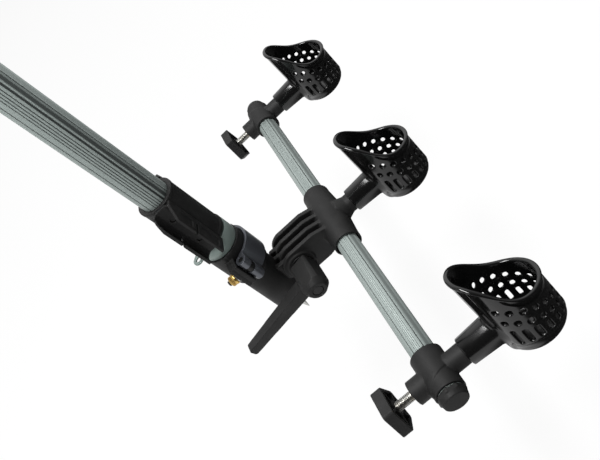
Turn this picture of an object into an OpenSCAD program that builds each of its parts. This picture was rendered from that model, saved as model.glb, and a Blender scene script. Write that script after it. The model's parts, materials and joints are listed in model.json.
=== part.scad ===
// Rear rod rest on a pod leg: a ribbed leg with a cam clamp bracket, a tilting arm and a
// crossbar with three butt cups. Millimetres, Z up along the leg, origin at the pivot bore
// in the leg's top knuckle, Y from the leg to the cups, X along the crossbar.

/* [Leg] */
// Pivot bore down to the crossbar's axis
bar_drop = 350; // [250:1:500]
// Outside diameter of the ribbed leg tube
leg_od = 27.2; // [24:0.2:32]
// Wall of the leg tube
leg_wall = 1.8; // [1.4:0.1:2.4]
// How far the smooth ferrule stands out from the leg tube
ferrule_wall = 4.6; // [4.4:0.1:5.4]
// Bore for the pivot bolt at the leg's top
top_bore_d = 8; // [5:0.5:10]
// Thickness of the top knuckle along the bolt
knuckle_t = 16; // [10:1:20]
// Spike length below the foot
spike_len = 24.3; // [15:0.5:40]

/* [Collar and clips] */
// Height of the collar's mouth above the crossbar's axis
collar_top = 147.5; // [130:0.5:170]
// Length of the collar
collar_len = 62.5; // [50:0.5:75]
// Inside diameter of the front storage clip
front_clip_id = 16.6; // [15:0.2:23]
// Inside diameter of the rear storage clip
rear_clip_id = 17.2; // [16:0.2:21]
// Wall of a storage clip
clip_wall = 1.9; // [1.4:0.1:2.4]

/* [Bracket] */
// Top of the clamp cuff above the crossbar's axis
cuff_top = 68; // [60:0.5:72]
// Bottom of the clamp cuff above the crossbar's axis
cuff_low = 27; // [22:0.5:30]
// How far the lower sleeve stands out from the leg tube
sleeve_wall = 3.6; // [3.2:0.1:4.4]
// Gap between the lower sleeve and the arm's hinge plates
pivot_gap = 0.6; // [0.4:0.1:4]
// Width of the slot in the cuff
cuff_slot = 1.5; // [1:0.5:4]

/* [Arm] */
// Arm's pivot to the crossbar's axis
arm_len = 45.2; // [44:0.2:60]
// Radius of the hinge plates
plate_r = 17.2; // [15:0.2:17.2]
// Thickness of a hinge plate
plate_t = 4.4; // [3.6:0.1:5]
// Pitch of the hinge plates
plate_pitch = 10; // [9:0.1:11]
// Pivot bolt diameter
pivot_d = 8; // [6:0.5:10]
// Half length of the middle sleeve on the crossbar
saddle_half = 38; // [30:1:50]

/* [Handle] */
// Lever length from the pivot to the tip
lever_len = 91; // [60:1:110]
// Lever direction below the line from the cups to the leg
lever_dip = 12; // [0:1:30]
// Width of the lever's hub
hub_d = 20; // [18.4:0.2:24]

/* [Crossbar] */
// Diameter over the crossbar
bar_d = 20; // [18:0.2:22]
// Wall of the crossbar
bar_wall = 1.8; // [1.4:0.1:2.4]
// Half length of the crossbar
bar_half = 212.2; // [212.2:0.2:260]
// Middle cup to an end cup
cup_pitch = 193.5; // [140:0.5:193.5]
// Wall of the tees round the bar
tee_wall = 2.4; // [2:0.1:3.5]

/* [Cups] */
// Outside diameter of a cup
cup_d = 50; // [44:0.5:56]
// Wall of a cup
cup_wall = 1.8; // [1.4:0.1:2.4]
// Stem diameter
stem_d = 17.6; // [15:0.2:18]
// Crossbar's axis to a cup's axis
cup_reach = 75.5; // [72:0.5:85]
// Turn of the near cup on its stem
near_roll = 17; // [-30:0.5:30]
// Turn of the middle cup on its stem
mid_roll = 8.5; // [-30:0.5:30]
// Turn of the far cup on its stem
far_roll = 1.5; // [-30:0.5:30]
// Diameter of a drain hole
hole_d = 5; // [3:0.1:5.6]
// Rim height at the front of the cup
rim_front = 20.5; // [16:0.5:26]
// Extra height of the tongue at the back
rim_rise = 31; // [10:1:36]

/* [Knobs] */
// Diameter over a knob's five corners
knob_d = 39; // [32:0.5:44]
// Knob thickness
knob_t = 9; // [7:0.5:11]
// Clamp screw diameter
screw_d = 8; // [6:0.5:8]

/* [Hidden] */
$fn = 72;
gap = 0.3;
run = 0.04;
eps = 0.02;
bz = -bar_drop;
leg_r = leg_od / 2;
leg_ri = leg_r - leg_wall;
bush_t = 1.6;
spigot_t = 1.4;
fer_r = leg_r + ferrule_wall;
fer_ri = leg_r + bush_t;
spigot_r = fer_ri + spigot_t;
collar_low = collar_top - collar_len;
tab_t = 1.8;
tab_r = leg_r + 2.6;
eye_at = 24.8;
eye_r = 5.2;
fer_top = collar_low - tab_t;
fer_low = cuff_low + 7;
fer_step = cuff_top + 0.5;
tube_top = bar_drop - 28;
tube_low = -40;
pin_z = -46;
collar_r = leg_r + 3.8;
flat_x = collar_r - 0.6;
clip_low = collar_low - 2;
clip_high = collar_top - 0.5;
flank_y = 10.6;
flank_fall = 13.6;
flank_t = 2.4;
flank_len = 15;
window_deep = 0.8;
sleeve_r = leg_r + sleeve_wall;
liner_r = leg_r + 1.6;
pivot_y = sleeve_r + pivot_gap + plate_r;
bar_y = pivot_y + arm_len;
sleeve_low = -36;
cuff_r = fer_r + 1;
cuff_mid = (cuff_low + cuff_top) / 2;
bolt_x = cuff_r + 6;
slot_y = -2.5;
ear_x = bolt_x + 5.5;
ear_b = slot_y + cuff_slot / 2;
ear_a = slot_y - cuff_slot / 2;
ear_bt = 3.2;
ear_at = 3.6;
cam_r = 5;
pin_y = ear_b + ear_bt + gap + cam_r;
ear_half = 13.5;
cam_down = 15.5;
cam_up = 12;
eye_half = 2.6;
bar_r = bar_d / 2;
saddle_r = bar_r + tee_wall + 0.6;
saddle_swell = 2;
root_r = stem_d / 2 + 3.4;
lip_r = bar_r + 1.5;
lip_depth = 3;
finger_t = plate_pitch - plate_t - 2 * gap;
finger_r = 11;
arm_half = 1.5 * plate_pitch + plate_t / 2;
pivot_r = pivot_d / 2;
hub_r = hub_d / 2;
hub_in = hub_r - 0.4;
hub_out = hub_r + 1.1;
hub_round = hub_r + 2.6;
hub_x0 = arm_half + 3.2;
hub_x1 = hub_x0 + 35.6;
head_r = 8;
head_t = 4;
shoulder_x = hub_x0 + 18.8;
coil_r = 4;
wire_r = 0.5;
coil_x0 = shoulder_x + 2.8;
coil_x1 = hub_x1 - 5.2;
coil_turns = 4;
coil_steps = 16;
lever_x = hub_x0 + 19;
lever_t = 12;
lever_tip_t = 9;
tee_r = bar_r + tee_wall;
tee_half = 18;
tee_at = cup_pitch;
stem_r = stem_d / 2;
boss_r = 9.9;
boss_y = -22.8;
screw_r = screw_d / 2;
insert_r = screw_r + 2.4;
tip_r = 2;
pad_y = -bar_r - 3.6;
band_t = 0.6;
band_turn = 23.4;
band_x = 6.9;
seam = 0.6;
knob_y = -47.2;
knob_r = knob_d / 2;
knob_blunt = 0.8;
knob_turn = 57;
knob_wall = 2.6;
knob_web = 3;
knob_hub_r = 6.5;
knob_rib = 1.6;
cup_r = cup_d / 2;
cup_ri = cup_r - cup_wall;
floor_z = -23.2;
floor_t = 2.2;
fillet_out = 7;
fillet_in = 5.2;
spine_low = floor_z + fillet_out + 0.4;
sock_y = 24.6;
sock_r = stem_r + 2.5;
stem_end = cup_reach - cup_r - 4;
spine_t = 1.4;
hole_step = 18.5;
hole_n = 7;
row_z = [15.9, 5.6];
row_fall = [0.6, 0.5];
slot_w = 4.5;
slot_high = -0.3;
slot_low = -10.5;
slot_fall = 0.33;
slot_fall_front = 0.45;
slot_drop_front = 0.18;
rim_slope = 0.12;
rim_mid = -9.6;
rim_soft = 6.25;
rim_n = 28;
blank_h = 90;

module bx(x0, x1, y0, y1, z0, z1) {
  translate([x0, y0, z0]) cube([x1 - x0, y1 - y0, z1 - z0]);
}
module cx(x0, x1, r) {
  translate([x0, 0, 0]) rotate([0, 90, 0]) cylinder(h = x1 - x0, r = r);
}
module cy(y0, y1, r) {
  translate([0, y0, 0]) rotate([-90, 0, 0]) cylinder(h = y1 - y0, r = r);
}
module cz(z0, z1, r) {
  translate([0, 0, z0]) cylinder(h = z1 - z0, r = r);
}
module along_x(x0, x1) {
  translate([x0, 0, 0]) rotate([90, 0, 90]) linear_extrude(x1 - x0) children();
}
// Places children at the height of the crossbar's axis.
module low() {
  translate([0, 0, bz]) children();
}
// Places children on the arm's pivot axis.
module at_pivot() {
  translate([0, pivot_y, bz]) children();
}
// Places children on the crossbar's axis, at a place along it.
module at_bar(x) {
  translate([x, bar_y, bz]) children();
}
// Places children in a cup's own frame: its axis upright, its spine toward the bar.
module at_cup(x, roll) {
  at_bar(x) rotate([0, -roll, 0]) translate([0, cup_reach, 0]) children();
}

// Leg: the ribbed tube, with fine grooves, broad channels and flats
module groove(a, r, w, d) {
  rotate(a) translate([r - d, -w / 2]) square([d + 1, w]);
}
module leg_section() {
  difference() {
    circle(r = leg_r);
    circle(r = leg_ri);
    for (s = [0, 180]) {
      for (i = [0:3]) groove(s - 11 + 9 * i, leg_r, 0.6, 0.5);
      groove(s - 33.5, leg_r, 0.9, 0.7);
      groove(s + 28, leg_r, 1.7, 0.7);
      groove(s + 47, leg_r, 2.5, 0.6);
      groove(s + 62, leg_r, 0.8, 0.6);
      groove(s + 76, leg_r, 5, 0.25);
    }
  }
}
module leg_tube() {
  color("DarkSeaGreen") difference() {
    low() translate([0, 0, tube_low]) linear_extrude(tube_top - tube_low) leg_section();
    translate([0, 0, pin_z]) cx(-20, 20, 2 + eps);
  }
}
module leg_knuckle() {
  color("DimGray") difference() {
    union() {
      cz(-60, -27.9, leg_ri - eps);
      cz(-27.9, -24, leg_r);
      intersection() {
        union() {
          cx(-knuckle_t / 2, knuckle_t / 2, 10);
          bx(-knuckle_t / 2, knuckle_t / 2, -10, 10, -25, 0);
        }
        cz(-30, 20, leg_r + 2);
      }
    }
    cx(-20, 20, top_bore_d / 2);
    translate([0, 0, pin_z]) cx(-20, 20, 2 + eps);
  }
}
module knuckle_pins() {
  color("Silver") for (s = [-1, 1]) translate([0, 0, pin_z])
    cx(s > 0 ? leg_ri - 6 : -leg_ri - 1.2, s > 0 ? leg_ri + 1.2 : -leg_ri + 6, 2);
}

// Collar with a lip at each end and two storage clips screwed to its flats
module clip_collar() {
  color("Black") low() difference() {
    union() {
      cz(collar_low, collar_top, collar_r);
      cz(collar_low, collar_low + 3, collar_r + 0.8);
      cz(collar_top - 3, collar_top, collar_r + 0.4);
    }
    cz(collar_low - 1, collar_top + 1, leg_r + eps);
    for (s = [0, 1]) mirror([s, 0, 0]) {
      bx(flat_x, flat_x + 9, -15, 15, collar_low - 1, collar_top + 1);
      for (z = [0.25, 0.75]) translate([0, 0, collar_low + collar_len * z])
        cx(leg_r - 1, flat_x + 1, 1.5 + eps);
    }
  }
}
// Places children on the flat upper flank, which leaves the collar and falls toward the clip's mouth.
module on_flank() {
  translate([flat_x, flank_y]) rotate(-flank_fall) children();
}
module clip_section(id) {
  ro = id / 2 + clip_wall;
  at = flat_x + eps + ro;
  difference() {
    union() {
      translate([at, 0]) difference() {
        circle(r = ro);
        circle(r = id / 2);
      }
      translate([flat_x + eps, -5]) square([3, 10]);
      translate([at + 0.6, -ro]) square([3.6, 2.6]);
      on_flank() translate([0.4, -flank_t]) square([flank_len, flank_t]);
    }
    on_flank() translate([-5, 0]) square([40, 20]);
    translate([at + 4.2, -20]) square([20, 40]);
    translate([-20, -30]) square([20 + flat_x + eps, 60]);
  }
}
module clip_body(id) {
  at = flat_x + eps + id / 2 + clip_wall;
  mid = (clip_low + clip_high) / 2;
  low() difference() {
    translate([0, 0, clip_low]) linear_extrude(clip_high - clip_low) clip_section(id);
    rotate([90, 0, 0]) linear_extrude(50, center = true) polygon([[at - 6, clip_high + 1],
      [at + 5, clip_high - 11], [at + 20, clip_high - 11], [at + 20, clip_high + 1]]);
    bx(at - 5, at + 20, -20, 20, mid - 1, mid + 1);
    on_flank() {
      bx(5, 12, -window_deep, 2, clip_low + 5, mid - 5);
      bx(5, 12, -window_deep, 2, mid + 5, clip_high - 13);
    }
    cz(clip_low - 5, fer_top + gap, fer_r + gap);
    for (z = [0.25, 0.75]) translate([0, 0, collar_low + collar_len * z]) {
      cx(flat_x - 1, flat_x + 9, 1.5 + eps);
      cx(flat_x + 0.7, flat_x + 9, 2.6 + eps);
    }
  }
}
module front_clip() {
  color("Black") clip_body(front_clip_id);
}
module rear_clip() {
  color("Black") mirror([1, 0, 0]) clip_body(rear_clip_id);
}
module clip_screws() {
  color("Silver") low() for (s = [0, 1]) mirror([s, 0, 0])
    for (z = [0.25, 0.75]) translate([0, 0, collar_low + collar_len * z]) {
      cx(leg_r + 0.4, flat_x + 1, 1.5);
      cx(flat_x + 0.7 + eps, flat_x + 1.9, 2.6);
    }
}
module eyelet_tab() {
  color("DarkSeaGreen") low() translate([0, 0, fer_top + eps]) linear_extrude(tab_t - 2 * eps)
    difference() {
      union() {
        circle(r = tab_r);
        rotate(-43) translate([0, -eye_r]) square([eye_at, 2 * eye_r]);
        rotate(-43) translate([eye_at, 0]) circle(r = eye_r);
      }
      circle(r = leg_r + eps);
      rotate(-43) translate([eye_at, 0]) circle(r = 2.4);
    }
}
module ferrule() {
  color("DarkSeaGreen") low() difference() {
    union() {
      cz(fer_low, fer_top, spigot_r);
      cz(fer_step, fer_top, fer_r);
    }
    cz(fer_low - 1, fer_top + 1, fer_ri);
  }
}
module ferrule_bush() {
  color("DimGray") low() difference() {
    cz(fer_low + 2, fer_top - eps, fer_ri - eps);
    cz(fer_low - 1, fer_top + 1, leg_r + eps);
  }
}

// Foot of the leg
module foot_plug() {
  color("Black") low() difference() {
    union() {
      cz(tube_low - 1, tube_low + 24, leg_ri - eps);
      cz(tube_low - 3, tube_low - eps, leg_r - 0.5);
    }
    cz(tube_low - 4, tube_low + 16, 3 + eps);
    translate([0, 0, tube_low + 19]) cx(-20, 20, 1.5 + eps);
  }
}
module leg_spike() {
  color("Silver") low() translate([0, 0, tube_low - 3 - eps]) {
    cz(-3, 0, 6);
    cz(-1, 17, 3);
    mirror([0, 0, 1]) translate([0, 0, 3]) cylinder(h = spike_len - 3, r1 = 4.5, r2 = 0.5);
  }
}
module foot_pin() {
  color("Silver") low() translate([0, 0, tube_low + 19]) cx(-leg_ri + 0.3, leg_ri - 0.3, 1.5);
}

// Bracket: a split cuff on the ferrule, a sleeve on the leg and three hinge fingers
module sleeve_liner() {
  color("Ivory") low() difference() {
    union() {
      cz(sleeve_low - gap, cuff_low + gap, liner_r);
      cz(sleeve_low - gap - 2.2, sleeve_low - gap, sleeve_r - 0.4);
      cz(cuff_low + gap, cuff_low + 1.9, liner_r + 1);
    }
    cz(sleeve_low - 5, cuff_top, leg_r + run);
  }
}
module bracket() {
  color("Black") difference() {
    union() {
      low() {
        cz(sleeve_low, cuff_low + 2, sleeve_r);
        cz(cuff_low - 2, cuff_top, cuff_r);
        bx(cuff_r - 4, ear_x, ear_a - ear_at, ear_b + ear_bt, cuff_mid - ear_half,
           cuff_mid + ear_half);
      }
      for (i = [-1:1]) at_pivot() along_x(i * plate_pitch - finger_t / 2, i * plate_pitch + finger_t / 2) {
        circle(r = finger_r);
        translate([sleeve_r - 2 - pivot_y, -finger_r]) square([pivot_y - sleeve_r + 2, 2 * finger_r]);
      }
    }
    low() {
      cz(sleeve_low - 1, cuff_low + 5, liner_r + run);
      cz(cuff_low, cuff_top + 1, spigot_r + run);
      bx(liner_r - 1, ear_x + 1, ear_a, ear_b, cuff_low, cuff_top + 1);
      translate([bolt_x, 0, cuff_mid]) cy(-30, 20, 2.5 + gap);
    }
    at_pivot() cx(-20, 20, pivot_r + eps);
  }
}
module cam_section() {
  difference() {
    union() {
      translate([bolt_x, pin_y]) circle(r = cam_r);
      difference() {
        circle(r = cuff_r + 3);
        translate([-40, -80 + pin_y]) square([80, 80]);
        rotate(138) translate([-40, 0]) square([40, 80]);
      }
      translate([bolt_x - 6.5, pin_y]) square([6.5, cam_r - 0.6]);
    }
    circle(r = cuff_r + 0.6);
    translate([bolt_x, pin_y]) circle(r = 2.5 + run);
  }
}
module cam_lever() {
  color("DarkGray") low() difference() {
    translate([0, 0, cuff_mid - cam_down]) linear_extrude(cam_down + cam_up) cam_section();
    bx(bolt_x - 5.6, bolt_x + 10, -10, pin_y + 6, cuff_mid - eye_half - gap, cuff_mid + eye_half + gap);
  }
}
module cam_pin() {
  color("Silver") low() translate([bolt_x, pin_y, 0])
    cz(cuff_mid - cam_down + 0.5, cuff_mid + cam_up - 0.5, 2.5);
}
module eye_bolt() {
  color("Silver") low() translate([bolt_x, 0, cuff_mid]) difference() {
    union() {
      translate([0, pin_y, 0]) cz(-eye_half, eye_half, 4.8);
      cy(-17.2, pin_y - 3.4, 2.5);
    }
    translate([0, pin_y, 0]) cz(-5, 5, 2.5 + eps);
  }
}
module nut_washer() {
  color("Silver") low() translate([bolt_x, 0, cuff_mid]) difference() {
    cy(ear_a - ear_at - 1.2, ear_a - ear_at - eps, 5.2);
    cy(-40, 10, 2.5 + 0.1);
  }
}
module adjuster_nut() {
  color("Goldenrod") low() translate([bolt_x, ear_a - ear_at - 1.2 - gap, cuff_mid])
    difference() {
      union() {
        cy(-3, 0, 5.2);
        rotate([90, 0, 0]) linear_extrude(6.6) difference() {
          circle(r = 4.8);
          for (a = [0:18:342]) rotate(a) translate([4.8, 0]) circle(r = 0.35, $fn = 16);
        }
      }
      cy(-20, 10, 2.5 + run);
    }
}

// Arm: four hinge plates, the middle sleeve on the crossbar and the middle stem
module plate_section() {
  circle(r = plate_r);
  translate([0, -plate_r]) square([24, 2 * plate_r]);
  polygon([[24, -plate_r], [arm_len - 5, -saddle_r + 0.4], [arm_len - 5, saddle_r - 0.4],
           [24, plate_r]]);
}
module stem() {
  difference() {
    cy(0, stem_end, stem_r);
    cy(stem_end - 16, stem_end + 1, 2.5 + eps);
    difference() {
      cy(stem_end - 8, stem_end - 6, stem_r + 1);
      cy(stem_end - 9, stem_end - 5, stem_r - 1.8);
    }
  }
}
module arm() {
  color("Black") difference() {
    union() {
      for (i = [-1.5:1:1.5]) at_pivot()
        along_x(i * plate_pitch - plate_t / 2, i * plate_pitch + plate_t / 2) plate_section();
      at_pivot() cx(arm_half - 1, arm_half + 1.6, 13.5);
      at_bar(0) {
        cx(-saddle_half, saddle_half, saddle_r);
        for (s = [0, 1]) mirror([s, 0, 0]) rotate([0, 90, 0]) {
          translate([0, 0, -1]) cylinder(h = 11, r = saddle_r + saddle_swell);
          translate([0, 0, 10]) cylinder(h = saddle_half - 16, r1 = saddle_r + saddle_swell, r2 = saddle_r);
        }
        rotate([-90, 0, 0]) translate([0, 0, saddle_r - 2]) cylinder(h = 9, r1 = root_r, r2 = stem_r);
        stem();
      }
    }
    at_pivot() cx(-30, 30, pivot_r + run);
    at_bar(0) {
      cx(-saddle_half - 1, saddle_half + 1, bar_r + eps);
      cx(-saddle_half - 1, -saddle_half + lip_depth, lip_r);
      cx(saddle_half - lip_depth, saddle_half + 1, lip_r);
      for (s = [-1, 1]) translate([s * 24, 0, 0]) cz(-30, 0, 2.5 + eps);
    }
  }
}
module pivot_bolt() {
  color("Silver") at_pivot() {
    cx(-arm_half - 1.5, hub_x0 + 14, pivot_r);
    rotate([0, -90, 0]) translate([0, 0, arm_half + 1.5]) cylinder(h = 5.4, r = 7.5, $fn = 6);
  }
}
module pivot_washers() {
  color("Silver") at_pivot() difference() {
    union() {
      cx(-arm_half - 1.5 + eps, -arm_half - gap, 11);
      cx(arm_half + 1.6 + gap, hub_x0 - gap, 11);
    }
    cx(-40, 40, pivot_r + eps);
  }
}

// Handle: an insert with a hexagonal head, a screw, a spring and a lever that lifts off the head
module hex_head(x0, x1, r) {
  rotate([lever_dip, 0, 0]) translate([x0, 0, 0]) rotate([0, 90, 0])
    cylinder(h = x1 - x0, r = r, $fn = 6);
}
module handle_insert() {
  color("Gray") at_pivot() difference() {
    union() {
      hex_head(hub_x0, hub_x0 + head_t, head_r);
      cx(hub_x0, shoulder_x - 0.8, 6);
    }
    cx(hub_x0 - 1, hub_x0 + 15, pivot_r + run);
    cx(hub_x0 + 14, shoulder_x, 2.5 + eps);
  }
}
module handle_screw() {
  color("Gray") at_pivot() {
    cx(hub_x0 + 15.5, hub_x1 - 4.4, 2.5);
    cx(hub_x1 - 4.4, hub_x1 - 0.4, 4.8);
  }
}
// One point of the coil: ring i along it, corner j of the wire's six sides.
function coil_point(i, j) =
  let(a = 360 * i / coil_steps, r = coil_r + wire_r * cos(60 * j),
      x = coil_x0 + (coil_x1 - coil_x0) * i / (coil_turns * coil_steps) + wire_r * sin(60 * j))
  [x, r * cos(a), r * sin(a)];
module handle_spring() {
  n = coil_turns * coil_steps;
  points = [for (i = [0:n], j = [0:5]) coil_point(i, j)];
  sides = [for (i = [0:n - 1], j = [0:5]) let(a = 6 * i + j, b = 6 * i + (j + 1) % 6)
    each [[a, b, b + 6], [a, b + 6, a + 6]]];
  first = [for (j = [4:-1:1]) [0, j + 1, j]];
  last = [for (j = [1:4]) [6 * n, 6 * n + j, 6 * n + j + 1]];
  color("Silver") at_pivot() polyhedron(points, concat(sides, first, last));
}
module lever_section() {
  polygon([[-4, -7], [-lever_len + 1.6, -4.6], [-lever_len, -3.2], [-lever_len, 3.2],
           [-lever_len + 1.6, 4.6], [-4, 7]]);
}
module lever_plan() {
  polygon([[lever_x - lever_t / 2, 0], [lever_x + lever_t / 2, 0],
           [lever_x + lever_tip_t / 2, -lever_len - 1], [lever_x - lever_tip_t / 2, -lever_len - 1]]);
}
// The hub: a square that widens toward its outer end, with rounded corners and a broken end
module hub_block() {
  intersection() {
    translate([hub_x0, 0, 0]) rotate([0, 90, 0]) rotate(45)
      cylinder(h = hub_x1 - hub_x0, r1 = hub_in * sqrt(2), r2 = hub_out * sqrt(2), $fn = 4);
    union() {
      cx(hub_x0, hub_x1 - 6, hub_round);
      translate([hub_x1 - 6, 0, 0]) rotate([0, 90, 0])
        cylinder(h = 6, r1 = hub_round, r2 = hub_r - 1.4);
    }
  }
}
module handle() {
  color("Black") at_pivot() rotate([lever_dip, 0, 0]) difference() {
    union() {
      hub_block();
      intersection() {
        along_x(lever_x - lever_t / 2, lever_x + lever_t / 2) lever_section();
        linear_extrude(30, center = true) lever_plan();
      }
    }
    rotate([-lever_dip, 0, 0]) hex_head(hub_x0 - 1, hub_x0 + head_t + gap, head_r + 0.4);
    cx(hub_x0, shoulder_x, 6 + gap);
    cx(hub_x0, hub_x1, 2.5 + gap);
    cx(shoulder_x + 2, hub_x1 + 1, 5.2);
  }
}

// Crossbar with its key groove below
module bar_section() {
  difference() {
    circle(r = bar_r);
    circle(r = bar_r - bar_wall);
    for (i = [-1.5:1:1.5]) groove(90 + 8 * i, bar_r, 0.5, 0.4);
    for (s = [-1, 1]) groove(90 + 28 * s, bar_r, 0.8, 0.6);
    groove(-90, bar_r, 2.8, 0.9);
  }
}
module crossbar() {
  color("DarkSeaGreen") at_bar(0) along_x(-bar_half, bar_half) bar_section();
}
module bar_end_caps() {
  color("Black") for (s = [0, 1]) mirror([s, 0, 0]) at_bar(0) {
    cx(bar_half - 12, bar_half + eps, bar_r - bar_wall - eps);
    translate([bar_half + eps, 0, 0]) rotate([0, 90, 0]) cylinder(h = 3.4, r = bar_r + 1.9, $fn = 8);
    translate([bar_half + 3.4, 0, 0]) rotate([0, 90, 0])
      cylinder(h = 4.2, r1 = bar_r + 1, r2 = bar_r);
  }
}
module bar_grub_screws() {
  color("Gray") at_bar(0) for (s = [-1, 1]) translate([s * 24, 0, 0])
    difference() {
      union() {
        cz(-saddle_r + 0.5, -bar_r - 0.1, 2.5);
        cz(-bar_r - 0.2, -bar_r + 0.7, 1.2);
      }
      cz(-saddle_r, -saddle_r + 2, 1.2);
    }
}

// End tees, each with a stem, a threaded boss, a pad, a clamp screw and a knob
module tee(x) {
  color("Black") at_bar(x) difference() {
    union() {
      difference() {
        cx(-tee_half, tee_half, tee_r);
        difference() {
          rotate([0, 0, band_turn]) bx(band_x - 1, band_x + seam, -60, 60, -30, 30);
          cx(-tee_half - 1, tee_half + 1, tee_r - seam);
        }
      }
      intersection() {
        cx(-tee_half, tee_half, tee_r + band_t);
        rotate([0, 0, band_turn]) bx(-60, band_x, -60, 60, -30, 30);
      }
      stem();
      cy(boss_y, 0, boss_r);
    }
    difference() {
      cx(-tee_half - 1, tee_half + 1, bar_r + 0.08);
      bx(-tee_half - 2, tee_half + 2, -1.1, 1.1, -bar_r - 0.2, -bar_r + 0.5);
    }
    cy(boss_y - 1, -bar_r, insert_r + eps);
  }
}
module thread_insert(x) {
  color("Goldenrod") at_bar(x) difference() {
    cy(boss_y, boss_y + 4, insert_r);
    cy(boss_y - 1, 0, screw_r + run);
  }
}
module brake_pad(x) {
  color("Ivory") at_bar(x) difference() {
    cy(pad_y, -bar_r - 0.6, insert_r - run);
    cy(pad_y - 1, pad_y + 2, tip_r + run);
  }
}
module clamp_screw(x) {
  color("Silver") at_bar(x) {
    cy(knob_y - 1, pad_y - gap, screw_r);
    cy(pad_y - 1, pad_y + 2 - gap, tip_r);
  }
}
module knob_pocket() {
  difference() {
    rotate(-knob_turn) circle(r = knob_r + knob_blunt - knob_wall / cos(36), $fn = 5);
    circle(r = knob_hub_r);
    for (k = [0:4]) rotate(72 * k - knob_turn) translate([0, -knob_rib / 2]) square([knob_r, knob_rib]);
  }
}
module knob(x) {
  color("Black") at_bar(x) difference() {
    translate([0, knob_y, 0]) rotate([-90, 0, 0]) linear_extrude(knob_t) intersection() {
      rotate(-knob_turn) circle(r = knob_r + knob_blunt, $fn = 5);
      circle(r = knob_r);
    }
    cy(knob_y - 2, knob_y + 20, screw_r + eps);
    translate([0, knob_y + knob_web, 0]) rotate([-90, 0, 0]) linear_extrude(knob_t) knob_pocket();
  }
}

// Cups: a shell of revolution cut by a sloping rim, a spine, a socket and drain holes
function rim_z(y) = rim_front + rim_slope * (cup_r - y)
  + rim_rise / (1 + exp((y - rim_mid) / rim_soft));
module shell_section(r, z0, f) {
  translate([0, z0]) square([r - f, blank_h]);
  translate([0, z0 + f]) square([r, blank_h - f]);
  intersection() {
    translate([r - f, z0 + f]) circle(r = f);
    translate([0, z0]) square([r, blank_h]);
  }
}
module rim_cut() {
  reach = cup_r + 6;
  along_x(-40, 40) polygon(concat(
    [for (i = [0:rim_n]) let(y = -reach + 2 * reach * i / rim_n) [y, rim_z(y)]],
    [[reach, blank_h], [-reach, blank_h]]));
}
module drain_holes() {
  for (k = [-hole_n:hole_n]) {
    v = cup_r * cos(hole_step * k);
    rotate(90 + hole_step * k) {
      for (i = [0, 1]) translate([0, 0, row_z[i] - row_fall[i] * v]) cx(cup_ri - 4, cup_r + 3, hole_d / 2);
      bx(cup_ri - 4, cup_r + 3, -slot_w / 2, slot_w / 2, slot_low - slot_drop_front * max(v, 0),
         slot_high - (v > 0 ? slot_fall_front : slot_fall) * v);
    }
  }
}
module cup(x, roll) {
  color("Black") at_cup(x, roll) difference() {
    union() {
      rotate_extrude() shell_section(cup_r, floor_z, fillet_out);
      rotate(-90 - 31) rotate_extrude(angle = 62) translate([cup_r - 0.5, spine_low])
        square([spine_t + 0.5, blank_h]);
      translate([0, sock_y - cup_reach, 0]) rotate([-90, 0, 0])
        cylinder(h = cup_reach - sock_y - cup_r + 2, r1 = sock_r, r2 = sock_r + 1.4);
    }
    rotate_extrude() shell_section(cup_ri, floor_z + floor_t, fillet_in);
    rim_cut();
    drain_holes();
    cy(sock_y - cup_reach - 1, stem_end - cup_reach + 0.4, stem_r + run);
    cy(-cup_reach, 0, 2.5 + gap);
  }
}
module cup_screw(x) {
  color("Silver") at_cup(x, 0) {
    cy(stem_end - cup_reach - 14, -cup_ri + 1.2, 2.5);
    cy(-cup_ri + 1.2, -cup_ri + 3.4, 4.6);
  }
}
module stem_ring(x) {
  color("DimGray") at_bar(x) translate([0, stem_end - 7, 0]) rotate([-90, 0, 0])
    rotate_extrude() translate([stem_r - 0.86, 0]) circle(r = 0.88, $fn = 32);
}

module near_tee() tee(tee_at);
module far_tee() mirror([1, 0, 0]) tee(tee_at);
module near_thread_insert() thread_insert(tee_at);
module far_thread_insert() thread_insert(-tee_at);
module near_brake_pad() brake_pad(tee_at);
module far_brake_pad() brake_pad(-tee_at);
module near_clamp_screw() clamp_screw(tee_at);
module far_clamp_screw() clamp_screw(-tee_at);
module near_knob() knob(tee_at);
module far_knob() knob(-tee_at);
module near_cup() cup(tee_at, near_roll);
module mid_cup() cup(0, mid_roll);
module far_cup() cup(-tee_at, far_roll);
module near_cup_screw() cup_screw(tee_at);
module mid_cup_screw() cup_screw(0);
module far_cup_screw() cup_screw(-tee_at);
module near_stem_ring() stem_ring(tee_at);
module mid_stem_ring() stem_ring(0);
module far_stem_ring() stem_ring(-tee_at);

leg_tube();
leg_knuckle();
knuckle_pins();
clip_collar();
front_clip();
rear_clip();
clip_screws();
eyelet_tab();
ferrule();
ferrule_bush();
foot_plug();
leg_spike();
foot_pin();
sleeve_liner();
bracket();
cam_lever();
cam_pin();
eye_bolt();
adjuster_nut();
nut_washer();
arm();
pivot_bolt();
pivot_washers();
handle_insert();
handle_screw();
handle_spring();
handle();
crossbar();
bar_end_caps();
bar_grub_screws();
near_tee();
far_tee();
near_thread_insert();
far_thread_insert();
near_brake_pad();
far_brake_pad();
near_clamp_screw();
far_clamp_screw();
near_knob();
far_knob();
near_cup();
mid_cup();
far_cup();
near_cup_screw();
mid_cup_screw();
far_cup_screw();
near_stem_ring();
mid_stem_ring();
far_stem_ring();
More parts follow.
